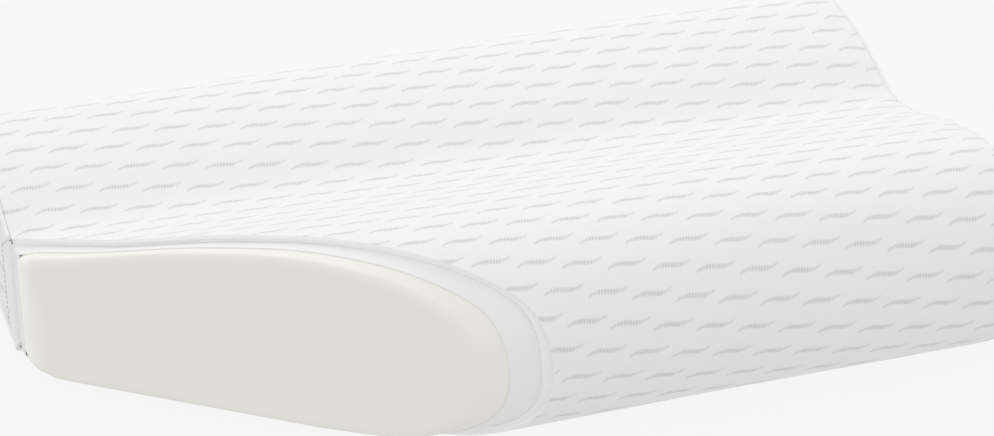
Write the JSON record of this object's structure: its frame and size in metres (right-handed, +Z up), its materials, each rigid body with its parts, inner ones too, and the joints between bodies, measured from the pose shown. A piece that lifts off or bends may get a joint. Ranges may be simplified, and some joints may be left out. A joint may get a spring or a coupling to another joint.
{
  "type": "bed pillow",
  "caption": "Contour bed pillow: wave-shaped foam core in an inner liner and a zipped knit cover, with one front corner sliced to show the layers.",
  "frame": {"origin": "middle of the pillow's footprint, on the surface it rests on", "axes": "+X along the pillow from the sliced end to the whole end, -Y towards the high front lobe, +Y towards the low back lobe and the zip, +Z up"},
  "size_m": [0.5, 0.3091, 0.1075],
  "materials": {
    "foam": "matt open-cell moulded foam",
    "liner_fabric": "smooth plain jersey",
    "lining_fabric": "smooth backing layer",
    "knit_fabric": "white jacquard knit",
    "seam_fabric": "rolled seam",
    "tape_fabric": "woven tape",
    "zip_plastic": "moulded",
    "zip_metal": "satin plated",
    "label_fabric": "satin ribbon, blank"
  },
  "bodies": {
    "pillow": {"foam_core": "foam", "inner_liner": "liner_fabric", "cover_lining": "lining_fabric", "cover_wrap": "knit_fabric", "end_panel_left": "knit_fabric", "end_panel_right": "knit_fabric", "end_piping_left": "seam_fabric", "end_piping_right": "seam_fabric", "zip_tape_upper": "tape_fabric", "zip_tape_lower": "tape_fabric", "zip_teeth_upper": "zip_plastic", "zip_teeth_lower": "zip_plastic", "zip_stop_upper": "zip_metal", "zip_stop_lower": "zip_metal", "zip_end_box": "zip_metal", "care_label": "label_fabric"},
    "slider": {"zip_slider": "zip_metal"},
    "pull": {"zip_pull": "zip_metal"}
  },
  "joints": [
    {"name": "zip_slide", "type": "slide", "parent": "pillow", "child": "slider", "axis": [-1, 0, 0], "range_m": [0, 0.33]},
    {"name": "pull_hinge", "type": "hinge", "parent": "slider", "child": "pull", "pos_m": [0.165, 0.1527, 0.037], "axis": [0, 0, -1], "range_deg": [0, 170]}
  ]
}
